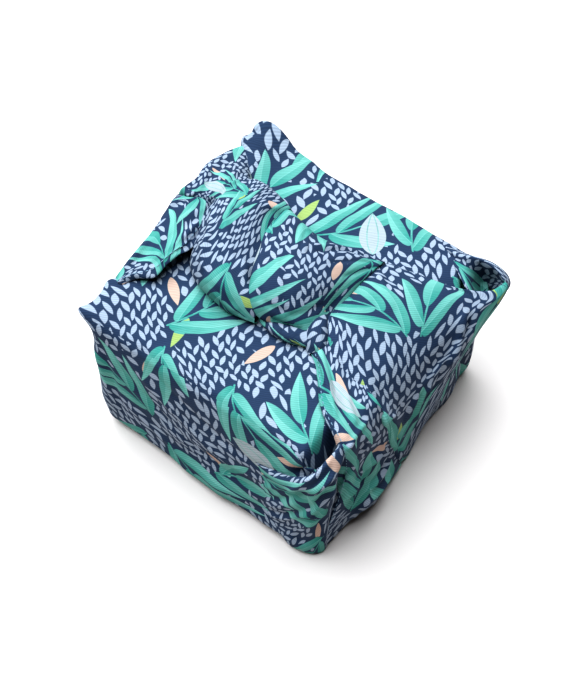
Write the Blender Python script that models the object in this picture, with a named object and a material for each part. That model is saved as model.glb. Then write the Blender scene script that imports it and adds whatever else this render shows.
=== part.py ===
# Furoshiki wrap: one square of hemmed cloth folded round a box and tied on top of it.
# The cloth is a hollow shell, open at the dog-ear pocket of its back right corner and at the slit
# of its front corner. Metres, +Z up, with the middle of the foot at the origin.

from collections import namedtuple
from math import exp, pi, sin

import bmesh
import bpy
from mathutils import Vector

# The wrapped body: where its sides stand at the top edge and at the foot.
TOP_SIDES = {"left": -0.080, "right": 0.080, "front": -0.078, "back": 0.087}
FOOT_SIDES = {"left": -0.076, "right": 0.074, "front": -0.079, "back": 0.079}
BODY_HEIGHT = 0.092
EDGE_ROUND = 0.008
CLOTH_WALL = 0.0028
# Moves the body so that the whole wrap, ears and all, is centred over the origin.
CENTRING = (0.0028, -0.0056, 0.0)

# Grid steps along each side of the body, outside and inside, and the share of a quarter turn that
# draws them together near its edges.
OUTER_STEPS = 21
INNER_STEPS = 9
EDGE_CROWDING = 0.72
# Grid steps along each side of a folded patch. Its underside sinks into the top cloth, and each
# patch sinks a little less than the one before it.
PATCH_STEPS = 11
PATCH_SINK = 0.0018
SINK_STEP = 0.00017
# A patch's crown rises faster from its sides than a plain sine: the lower this power, the faster.
SWELL_POWER = 0.6
# A face whose normal is below this in Z lies flat and faces down.
FACING_DOWN = -0.999

# A fold is a soft ridge (height above 0) or trough (below 0) along a line over the body.
Fold = namedtuple("Fold", "start end width height")
BODY_FOLDS = [
    # The loose pleat that hangs in front on the right side, and the drawn-in line beside it.
    Fold((0.078, -0.048, 0.008), (0.080, -0.018, 0.018), 0.016, 0.0090),
    Fold((0.079, -0.030, 0.080), (0.078, -0.018, 0.040), 0.012, 0.0035),
    Fold((0.079, -0.002, 0.060), (0.076, 0.008, 0.004), 0.007, -0.0026),
    # A fold that runs from the front corner's crease over the right side.
    Fold((0.079, -0.068, 0.030), (0.079, -0.030, 0.062), 0.005, 0.0014),
    # Folds that sweep along the front side towards the same crease.
    Fold((0.010, -0.078, 0.014), (0.068, -0.077, 0.046), 0.008, 0.0022),
    Fold((0.020, -0.079, 0.004), (0.070, -0.077, 0.028), 0.008, 0.0020),
    Fold((-0.020, -0.078, 0.036), (0.062, -0.078, 0.066), 0.009, 0.0016),
    # The front corner: its deep crease, the roll above it and the round nose at the foot.
    Fold((0.078, -0.068, 0.066), (0.074, -0.076, 0.026), 0.006, -0.0050),
    Fold((0.078, -0.060, 0.088), (0.068, -0.078, 0.076), 0.005, 0.0026),
    Fold((0.066, -0.074, 0.006), (0.074, -0.068, 0.012), 0.009, 0.0034),
    # The left corner, pinched out at the top, with slack below it and along its left top edge.
    Fold((-0.079, -0.068, 0.089), (-0.080, -0.034, 0.090), 0.007, 0.0034),
    Fold((-0.078, -0.074, 0.084), (-0.080, -0.076, 0.094), 0.007, 0.0058),
    Fold((-0.078, -0.070, 0.050), (-0.074, -0.074, 0.026), 0.012, 0.0014),
    # The gathered left side, pushed out under its wing, and the hollows between its folds.
    Fold((-0.080, 0.006, 0.086), (-0.079, 0.062, 0.090), 0.013, 0.0075),
    Fold((-0.078, 0.018, 0.078), (-0.074, 0.010, 0.016), 0.008, 0.0030),
    Fold((-0.078, -0.010, 0.070), (-0.074, -0.022, 0.012), 0.008, -0.0020),
    Fold((-0.078, 0.046, 0.070), (-0.074, 0.050, 0.014), 0.008, -0.0020),
    # The back corner, pinched up into a round ear.
    Fold((-0.080, 0.083, 0.086), (-0.080, 0.083, 0.098), 0.010, 0.0105),
    # The right corner: the lip of its pocket, and the side cloth that folds in below it.
    Fold((0.080, 0.077, 0.086), (0.083, 0.060, 0.088), 0.009, 0.0085),
    Fold((0.078, 0.076, 0.060), (0.074, 0.074, 0.020), 0.008, 0.0034),
    Fold((0.079, 0.050, 0.078), (0.076, 0.060, 0.014), 0.007, -0.0022),
    # The back side, a little slack below its straight top edge.
    Fold((-0.030, 0.084, 0.050), (0.060, 0.083, 0.030), 0.012, -0.0020),
]

# A patch is a folded stretch of cloth on top: four corners, each with its own height, how far each
# side (near, right, far, left) bows to the left of its way up or to the right, and its crown.
Patch = namedtuple("Patch", "name corners bows crown")
PATCHES = [
    Patch(
        "left_wing_low",
        [(-0.083, -0.047, 0.0935), (-0.068, -0.012, 0.099), (-0.060, 0.020, 0.108), (-0.091, 0.014, 0.106)],
        [-0.002, 0.002, 0.0, -0.001],
        0.0030,
    ),
    Patch(
        "left_wing_high",
        [(-0.092, 0.009, 0.103), (-0.058, 0.014, 0.104), (-0.050, 0.042, 0.105), (-0.084, 0.070, 0.096)],
        [0.0, 0.0, 0.0, 0.004],
        0.0030,
    ),
    Patch(
        "left_lobe",
        [(-0.071, -0.010, 0.097), (0.000, -0.032, 0.098), (-0.022, 0.036, 0.102), (-0.062, 0.036, 0.106)],
        [-0.007, -0.002, 0.003, 0.002],
        0.0085,
    ),
    Patch(
        "right_lobe",
        [(-0.006, -0.031, 0.106), (0.032, -0.018, 0.100), (0.037, 0.046, 0.098), (-0.031, 0.041, 0.111)],
        [0.006, 0.001, -0.006, 0.006],
        0.0120,
    ),
    Patch(
        "right_wing",
        [(0.026, -0.012, 0.099), (0.079, -0.031, 0.0940), (0.079, 0.063, 0.0940), (0.028, 0.047, 0.098)],
        [0.002, 0.0, 0.002, 0.0],
        0.0024,
    ),
    Patch(
        "front_gusset",
        [(0.022, -0.020, 0.097), (0.076, -0.060, 0.0935), (0.079, -0.028, 0.0938), (0.032, -0.008, 0.098)],
        [-0.002, 0.0, 0.0, 0.0],
        0.0022,
    ),
]

# The two openings that the folds leave in the cloth: the corner pocket and the front slit.
Gap = namedtuple("Gap", "name centre size turn")
GAPS = [
    Gap("corner_pocket", (0.0720, 0.0680, BODY_HEIGHT), (0.0200, 0.0070, 0.0300), 0.25),
    Gap("front_slit", (0.0740, -0.0700, 0.0880), (0.0035, 0.0200, 0.0120), 0.05),
]


def clear_scene():
    for obj in list(bpy.data.objects):
        bpy.data.objects.remove(obj, do_unlink=True)


def cloth_material():
    cloth = bpy.data.materials.new("printed cotton")
    cloth.use_nodes = True
    surface = cloth.node_tree.nodes["Principled BSDF"]
    surface.inputs["Base Color"].default_value = (0.035, 0.060, 0.150, 1.0)
    surface.inputs["Roughness"].default_value = 0.75
    surface.inputs["Metallic"].default_value = 0.0
    return cloth


def add_object(name, mesh):
    made = bpy.data.objects.new(name, mesh)
    bpy.context.scene.collection.objects.link(made)
    return made


def hide_tool(tool):
    tool.hide_render = True
    tool.display_type = "WIRE"
    return tool


def eased(step):
    # Spreads even steps from -1 to 1 so that they lie closer together near both ends.
    reach = EDGE_CROWDING * pi / 2
    return sin(step * reach) / sin(reach)


def push_at(point):
    # How far all the folds together move the cloth out at this point.
    total = 0.0
    for fold in BODY_FOLDS:
        start = Vector(fold.start)
        line = Vector(fold.end) - start
        along = max(0.0, min(1.0, (point - start).dot(line) / line.length_squared))
        away = (point - start - along * line).length
        total += fold.height * exp(-((away / fold.width) ** 2))
    return total


def between(low, high, share):
    return low + (high - low) * share


def body_point(corner, inset):
    # A point of the tapered, round-edged body for a point of the cube from -1 to 1.
    up = (eased(corner.z) + 1) / 2
    side = {name: between(FOOT_SIDES[name], TOP_SIDES[name], up) for name in TOP_SIDES}
    outer = Vector((
        between(side["left"], side["right"], (eased(corner.x) + 1) / 2),
        between(side["front"], side["back"], (eased(corner.y) + 1) / 2),
        up * BODY_HEIGHT,
    ))
    core = Vector((
        max(side["left"] + EDGE_ROUND, min(side["right"] - EDGE_ROUND, outer.x)),
        max(side["front"] + EDGE_ROUND, min(side["back"] - EDGE_ROUND, outer.y)),
        max(EDGE_ROUND, min(BODY_HEIGHT - EDGE_ROUND, outer.z)),
    ))
    way_out = (outer - core).normalized()
    placed = core + way_out * EDGE_ROUND
    # Folds push sideways and up but never down, so that the foot stays flat on the table.
    push_way = Vector((way_out.x, way_out.y, max(0.0, way_out.z)))
    return placed + push_way * push_at(placed) - way_out * inset


def add_body(name, steps, inset):
    build = bmesh.new()
    bmesh.ops.create_cube(build, size=2.0)
    bmesh.ops.subdivide_edges(build, edges=build.edges[:], cuts=steps - 1, use_grid_fill=True)
    for vert in build.verts:
        vert.co = body_point(vert.co.copy(), inset)
    build.normal_update()
    flat_foot = [face for face in build.faces if face.normal.z < FACING_DOWN]
    bmesh.ops.dissolve_faces(build, faces=flat_foot)
    mesh = bpy.data.meshes.new(name)
    build.to_mesh(mesh)
    build.free()
    return add_object(name, mesh)


def side_point(start, end, bow, share):
    # A point along one side of a patch, which bows to the left of its own way.
    line = Vector(end) - Vector(start)
    left = Vector((-line.y, line.x, 0.0)).normalized()
    return Vector(start) + line * share + left * bow * 4 * share * (1 - share)


def patch_point(patch, across, along):
    near_left, near_right, far_right, far_left = [Vector(corner) for corner in patch.corners]
    near_bow, right_bow, far_bow, left_bow = patch.bows
    near = side_point(near_left, near_right, near_bow, across)
    far = side_point(far_left, far_right, far_bow, across)
    left = side_point(near_left, far_left, left_bow, along)
    right = side_point(near_right, far_right, right_bow, along)
    corners = near_left.lerp(near_right, across).lerp(far_left.lerp(far_right, across), along)
    point = near.lerp(far, along) + left.lerp(right, across) - corners
    swell = (sin(pi * across) * sin(pi * along)) ** SWELL_POWER
    return point + Vector((0.0, 0.0, patch.crown * swell))


def add_patch(order, patch):
    seat = BODY_HEIGHT - PATCH_SINK + order * SINK_STEP
    build = bmesh.new()
    bmesh.ops.create_grid(build, x_segments=PATCH_STEPS, y_segments=PATCH_STEPS, size=0.5)
    for vert in build.verts:
        vert.co = patch_point(patch, vert.co.x + 0.5, vert.co.y + 0.5)
    walls = bmesh.ops.extrude_face_region(build, geom=build.faces[:])
    for element in walls["geom"]:
        if isinstance(element, bmesh.types.BMVert):
            element.co.z = seat
    bmesh.ops.recalc_face_normals(build, faces=build.faces[:])
    floor = [face for face in build.faces if face.normal.z < FACING_DOWN]
    bmesh.ops.dissolve_faces(build, faces=floor)
    mesh = bpy.data.meshes.new(patch.name)
    build.to_mesh(mesh)
    build.free()
    return hide_tool(add_object(patch.name, mesh))


def add_gap(gap):
    build = bmesh.new()
    bmesh.ops.create_cube(build, size=1.0)
    bmesh.ops.scale(build, vec=gap.size, verts=build.verts[:])
    mesh = bpy.data.meshes.new(gap.name)
    build.to_mesh(mesh)
    build.free()
    block = hide_tool(add_object(gap.name, mesh))
    block.location = gap.centre
    block.rotation_euler.z = gap.turn
    return block


def combine(cloth, operation, tools):
    for tool in tools:
        step = cloth.modifiers.new(tool.name, "BOOLEAN")
        step.operation = operation
        step.solver = "EXACT"
        step.object = tool


def main():
    clear_scene()
    cloth = add_body("wrap_cloth", OUTER_STEPS, 0.0)
    cloth.data.materials.append(cloth_material())
    hollow = hide_tool(add_body("hollow", INNER_STEPS, CLOTH_WALL))
    combine(cloth, "UNION", [add_patch(order, patch) for order, patch in enumerate(PATCHES)])
    combine(cloth, "DIFFERENCE", [hollow] + [add_gap(gap) for gap in GAPS])
    middle = bpy.data.objects.new("wrap_middle", None)
    bpy.context.scene.collection.objects.link(middle)
    for made in bpy.data.objects:
        if made != middle:
            made.parent = middle
    middle.location = CENTRING


main()
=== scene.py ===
import math

import bmesh
import bpy
import numpy as np
from mathutils import Matrix, Vector, noise


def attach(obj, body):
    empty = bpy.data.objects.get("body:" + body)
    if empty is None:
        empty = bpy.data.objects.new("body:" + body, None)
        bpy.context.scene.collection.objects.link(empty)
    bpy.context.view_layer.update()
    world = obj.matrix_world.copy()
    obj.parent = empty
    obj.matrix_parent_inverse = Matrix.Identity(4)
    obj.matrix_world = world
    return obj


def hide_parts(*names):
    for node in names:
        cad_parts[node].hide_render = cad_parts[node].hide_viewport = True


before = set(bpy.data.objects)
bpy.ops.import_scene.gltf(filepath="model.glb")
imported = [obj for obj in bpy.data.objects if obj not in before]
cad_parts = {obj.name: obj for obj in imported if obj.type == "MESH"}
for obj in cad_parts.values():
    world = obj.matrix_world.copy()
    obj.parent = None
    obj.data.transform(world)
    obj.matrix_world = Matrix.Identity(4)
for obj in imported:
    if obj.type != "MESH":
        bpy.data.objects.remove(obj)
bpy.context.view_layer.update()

mm = 0.001

# The cloth is laid out in millimetres round the middle of the wrapped box, with the foot at zero.
# This moves it so that the whole wrap is centred, as the frame is.
frameShift = (2.8, -5.6, 0.0)


def placed(name, data):
    made = bpy.data.objects.new(name, data)
    bpy.context.scene.collection.objects.link(made)
    return made


def between(low, high, share):
    return low + (high - low) * share


def eased(step, reach=0.72):
    # Spreads even steps from -1 to 1 so that they lie closer together near both ends.
    turn = reach * math.pi / 2
    return np.sin(step * turn) / math.sin(turn)


def through(values, at):
    # A smooth curve through the rows of a table, read at fractional row numbers.
    values = np.asarray(values, float)
    last = len(values) - 1
    at = np.clip(at, 0, last)
    row = np.minimum(at.astype(int), last - 1)
    part = (at - row).reshape((-1,) + (1,) * (values.ndim - 1))
    before = values[np.maximum(row - 1, 0)]
    start = values[row]
    end = values[row + 1]
    after = values[np.minimum(row + 2, last)]
    return start + 0.5 * part * (
        end - before
        + part * (2 * before - 5 * start + 4 * end - after + part * (3 * (start - end) + after - before))
    )


body = {
    "top": {"left": -80, "right": 80, "front": -78, "back": 87},
    "foot": {"left": -76, "right": 74, "front": -79, "back": 79},
    "height": 92,
    "round": 8,
    "steps": (100, 104, 60),
    "flatFoot": 6,  # Below this height the forms and folds fade out, so that the foot stays flat.
    # Uneven slack: seed, how broad and how deep.
    "slack": [(31, 26.0, 0.7), (32, 9.0, 0.25)],
    # Creases: how wide and how high each is, and the places that it runs through.
    "folds": [
        (2, -4.5, [(-78.5, 72, 93.4), (-78, 75.5, 91.6), (-77.5, 79.5, 90.2)]),
        (3, -1.49, [(-60, -78, 66), (-25, -78.5, 44), (10, -78.5, 30), (46, -78.5, 34)]),
        (3.2, 1.35, [(-52, -78, 76), (-15, -78.5, 55), (20, -78.5, 43), (54, -78.5, 50)]),
        (2.6, -1.22, [(-40, -78, 82), (-5, -78.5, 66), (28, -78.5, 58), (60, -78.5, 64)]),
        (2.8, 1.08, [(-66, -78, 40), (-34, -78.5, 22), (0, -78.5, 14), (36, -78.5, 17)]),
        (2.2, -1.08, [(-72, -77, 80), (-66, -78, 60), (-62, -78.5, 34), (-58, -78.5, 12)]),
        (2.4, 1.08, [(-76, -76, 70), (-71, -78, 52), (-68, -78.5, 30)]),
        (1.7, -4.59, [(-80, 71, 91), (-79.5, 78, 92), (-77, 84, 92)]),
        (5, 0.94, [(-72, -50, 92), (-50, -46, 92), (-24, -48, 92)]),
        (5, -0.81, [(-70, -62, 92), (-40, -62, 92), (-8, -60, 92)]),
        (4, -0.94, [(-40, 84, 92), (0, 80, 92), (40, 84, 92)]),
        (5, 0.81, [(-50, 60, 92), (-10, 62, 92), (40, 64, 92)]),
    ],
}

# The body's large forms: how wide each is, how far the cloth stands out there (or falls in, below 0),
# and its line.
bodyForms = [
    # Folds that sweep along the front side towards the corner's crease.
    (8, 1.6, [(10, -78, 14), (68, -77, 46)]),
    (9, 1.2, [(-20, -78, 36), (62, -78, 66)]),
    # Room under the cloth that covers the right side and the front corner.
    (34, -5.0, [(80, -45, 54), (80, 45, 54)]),
    (9, -4.0, [(80, -76, 90), (76, -76, 4)]),
    (4, -4.0, [(79, -79, 88), (63, -79, 72)]),
    # The cloth hangs softly over the front edge, and lies lower still under the right wing.
    (13, -3.6, [(-58, -78, 92), (52, -78, 92)]),
    (18, -16.0, [(80, -28, 92), (80, 42, 92)]),
    (14, 3.0, [(-10, -79, 4), (56, -79, 4)]),
    # Slack below the left corner.
    (12, 1.8, [(-78, -70, 54), (-74, -74, 26)]),
    # The gathered left side, pushed out under its wing, and the hollows between its folds.
    (13, 6.5, [(-80, 6, 86), (-79, 62, 90)]),
    (8, 3.0, [(-78, 18, 78), (-74, 10, 16)]),
    (8, -2.0, [(-78, -10, 70), (-74, -22, 12)]),
    (8, -2.0, [(-78, 46, 70), (-74, 50, 14)]),
    # The side cloth folds in below the right corner.
    (7, -2.2, [(79, 50, 78), (76, 60, 14)]),
    # The back side, a little slack below its straight top edge.
    (12, -2.0, [(-30, 84, 50), (60, 83, 30)]),
]

# Where the cloth is pulled out into a point or a lip, or down into a hollow: how wide, how far, and where.
bodyPulls = [
    (5, (-5.5, -3.0, 1.6), [(-80, -78, 92), (-78, -75, 92)]),
    (8.5, (-7.6, 0, 1.4), [(-80, -72, 91), (-80, -52, 91)]),
    (6, (-3.0, 0, 0.8), [(-80, -50, 91), (-80, -36, 91)]),
    (7, (-10.5, 0.5, 6.8), [(-80, 73, 90), (-80, 84, 91)]),
    (8.5, (-4.6, 5.0, 7.2), [(-80, 88, 92), (-74, 87, 92)]),
    (8, (-0.5, 2.2, 1.2), [(-66, 87, 91), (-52, 87, 91)]),
    # The slot behind the front corner's roll, and the right corner's hollow.
    (5.0, (-1.0, 1.0, -25), [(72.3, -56.4, 91), (72.8, -68.8, 91), (71.6, -80.6, 88)]),
    (10, (-10, -14, -34), [(79, 76, 92), (86, 84, 92)]),
]


def nearness(points, line, width):
    # How near each point is to a line of places, from 0 to 1, and how far along the line that is.
    line = np.asarray(line, float)
    smoothness = 5
    if len(line) > 2:
        line = through(line, np.linspace(0, len(line) - 1, smoothness * len(line)))
    shortest = np.full(len(points), np.inf)
    place = np.zeros(len(points))
    for number, (start, end) in enumerate(zip(line, line[1:])):
        way = end - start
        along = np.clip((points - start) @ way / (way @ way), 0, 1)
        away = np.linalg.norm(points - start - along[:, None] * way, axis=1)
        place = np.where(away < shortest, (number + along) / (len(line) - 1), place)
        shortest = np.minimum(away, shortest)
    return np.exp(-((shortest / width) ** 2)), place


def pushAt(points, folds):
    # How far the folds together move each point. Each fold thins out towards its two ends.
    bluntness = 4
    total = np.zeros(len(points))
    for width, height, line in folds:
        near, place = nearness(points, line, width)
        total += height * near * (1 - np.abs(2 * place - 1) ** bluntness)
    return total


def crumple(points, seed, size, depth):
    # Small uneven slack, the same on every run.
    shift = Vector([seed * each for each in (17.3, 5.1, 9.7)])
    return np.array([depth * noise.noise(Vector(point) / size + shift) for point in points])


def gridFaces(number):
    # The faces of a grid whose points carry these numbers.
    quads = np.stack([number[:-1, :-1], number[1:, :-1], number[1:, 1:], number[:-1, 1:]], -1)
    return quads.reshape(-1, 4)


def makeMesh(name, points, faces, flat):
    # flat holds each face corner's place on the unfolded cloth, in millimetres.
    mesh = bpy.data.meshes.new(name)
    mesh.from_pydata(((points + np.array(frameShift)) * mm).tolist(), [], faces.tolist())
    layer = mesh.uv_layers.new(name="cloth")
    layer.data.foreach_set("uv", (flat.reshape(-1, 2) * mm).astype(np.float32).ravel())
    mesh.polygons.foreach_set("use_smooth", [True] * len(mesh.polygons))
    return placed(name, mesh)


def boxGrid(steps):
    # A cube's six sides as grids with shared borders: its points, its faces and each face's side.
    points = []
    faces = []
    sides = []
    for axis in range(3):
        first, second = [other for other in range(3) if other != axis]
        even = [np.linspace(-1, 1, steps[other] + 1) for other in (first, second)]
        a, b = np.meshgrid(*even, indexing="ij")
        for level in (-1, 1):
            grid = np.empty((a.size, 3))
            grid[:, axis] = level
            grid[:, first] = a.ravel()
            grid[:, second] = b.ravel()
            quads = gridFaces(np.arange(a.size).reshape(a.shape) + sum(len(each) for each in points))
            if (level > 0) == (axis == 1):
                quads = quads[:, ::-1]
            points.append(grid)
            faces.append(quads)
            sides.append(np.full(len(quads), axis * 2 + (level > 0)))
    points = np.concatenate(points)
    _, first, same = np.unique(np.round(points, 6), axis=0, return_index=True, return_inverse=True)
    return points[first], same.reshape(-1)[np.concatenate(faces)], np.concatenate(sides)


def bodyPoints(cube):
    # Points of the tapered, round-edged body for points of the cube from -1 to 1.
    spread = (eased(cube) + 1) / 2
    up = spread[:, 2]
    side = {name: between(body["foot"][name], body["top"][name], up) for name in body["top"]}
    outer = np.stack([
        between(side["left"], side["right"], spread[:, 0]),
        between(side["front"], side["back"], spread[:, 1]),
        up * body["height"],
    ], 1)
    edge = body["round"]
    core = np.stack([
        np.clip(outer[:, 0], side["left"] + edge, side["right"] - edge),
        np.clip(outer[:, 1], side["front"] + edge, side["back"] - edge),
        np.clip(outer[:, 2], edge, body["height"] - edge),
    ], 1)
    wayOut = outer - core
    wayOut /= np.linalg.norm(wayOut, axis=1)[:, None]
    return core + wayOut * edge, wayOut


def bodyFlat(points, side):
    # Unfolds one side of the body into the plane of its top.
    x, y, z = points.T
    down = body["height"] - z
    top = body["top"]
    unfolded = [
        (top["left"] - down, y), (top["right"] + down, y), (x, top["front"] - down), (x, top["back"] + down),
    ]
    return np.stack(unfolded[side] if side < len(unfolded) else (x, y), 1)


def makeBody():
    cube, faces, sides = boxGrid(body["steps"])
    points, wayOut = bodyPoints(cube)
    flat = np.empty(faces.shape + (2,))
    for side in range(6):
        mine = faces[sides == side]
        flat[sides == side] = bodyFlat(points[mine.ravel()], side).reshape(mine.shape + (2,))
    pushWay = wayOut.copy()
    pushWay[:, 2] = np.maximum(0, pushWay[:, 2])
    push = pushAt(points, body["folds"])
    for width, height, line in bodyForms:
        push += height * nearness(points, line, width)[0]
    push += sum(crumple(points, *each) for each in body["slack"])
    pull = np.zeros_like(points)
    for width, move, line in bodyPulls:
        pull += nearness(points, line, width)[0][:, None] * np.array(move)
    lifted = np.clip(points[:, 2] / body["flatFoot"], 0, 1)[:, None]
    points = points + (pushWay * push[:, None] + pull) * lifted
    made = makeMesh("wrapBody", points, faces, flat)
    # The flat part of the foot becomes one face.
    straightDown = -0.9999
    build = bmesh.new()
    build.from_mesh(made.data)
    bmesh.ops.dissolve_faces(build, faces=[face for face in build.faces if face.normal.z < straightDown])
    build.to_mesh(made.data)
    build.free()
    return made


# What a stretch of cloth has unless its own table says otherwise.
usualSheet = {
    "face": -1,  # Which side of its cage is the cloth's outer side, 1 or -1.
    "printTurn": 0,  # In degrees.
    "printStep": 80,  # Which of its steps the print follows: 50 is the middling one, 100 the longest.
    "folds": [],
    "hems": (),  # The places across the cloth where a hem is sewn.
    # Uneven slack: how broad and how deep.
    "slack": [(14.0, 0.5), (6.0, 0.18)],
    "lowest": 0.15,  # No cloth lies below this height.
}
# How far the thread draws a hem down, how wide that is in places across, and the rows at each end
# that stay without stitches.
hem = {"dent": 0.3, "width": 0.12, "bareRows": 2}

# Each hem's line of points and the way up at each of them, filled in as the sheets are laid.
hemLines = []


def gridNormals(points):
    # Points is rows by columns by 3.
    along = np.gradient(points, axis=0)
    across = np.gradient(points, axis=1)
    normals = np.cross(along, across)
    shortest = 1e-9
    return normals / np.maximum(np.linalg.norm(normals, axis=2), shortest)[..., None]


def flatWay(steps, axis, share):
    # The print's way along one axis. Where a sheet narrows its print is drawn together, as in gathered cloth.
    lengths = np.linalg.norm(np.diff(steps, axis=axis), axis=2)
    return np.concatenate([[0], np.cumsum(np.percentile(lengths, share, axis=1 - axis))])


def makeSheet(stretch):
    # A stretch of cloth through a cage of stations (rows) and places across it (columns).
    sheet = usualSheet | stretch
    cage = np.array(sheet["cage"], float)
    lastRow, lastPlace = cage.shape[0] - 1, cage.shape[1] - 1
    rows, columns = sheet["steps"]
    down = through(cage, np.linspace(0, lastRow, rows))
    both = through(np.swapaxes(down, 0, 1), np.linspace(0, lastPlace, columns))
    points = np.swapaxes(both, 0, 1)
    normals = gridNormals(points) * sheet["face"]
    flatPoints = points.reshape(-1, 3)
    push = pushAt(flatPoints, sheet["folds"])
    push += sum(crumple(flatPoints, sheet["seed"], *each) for each in sheet["slack"])
    across = np.tile(np.linspace(0, lastPlace, columns), rows)
    for place in sheet["hems"]:
        push -= hem["dent"] * np.exp(-((across - place) / hem["width"]) ** 2)
    points = flatPoints + normals.reshape(-1, 3) * push[:, None]
    points[:, 2] = np.maximum(points[:, 2], sheet["lowest"])
    steps = points.reshape(rows, columns, 3)
    sewnRows = slice(hem["bareRows"], -hem["bareRows"])
    for place in sheet["hems"]:
        column = round(place * (columns - 1) / lastPlace)
        hemLines.append((steps[sewnRows, column], normals[sewnRows, column]))
    ways = [flatWay(steps, axis, sheet["printStep"]) for axis in (0, 1)]
    flat = np.stack(np.meshgrid(*ways, indexing="ij"), -1).reshape(-1, 2)
    turn = math.radians(sheet["printTurn"])
    flat = flat @ np.array([[math.cos(turn), math.sin(turn)], [-math.sin(turn), math.cos(turn)]])
    flat += np.array(sheet["printPlace"])
    faces = gridFaces(np.arange(rows * columns).reshape(rows, columns))
    if sheet["face"] < 0:
        faces = faces[:, ::-1]
    return makeMesh(sheet["name"], points, faces, flat[faces])


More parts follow.
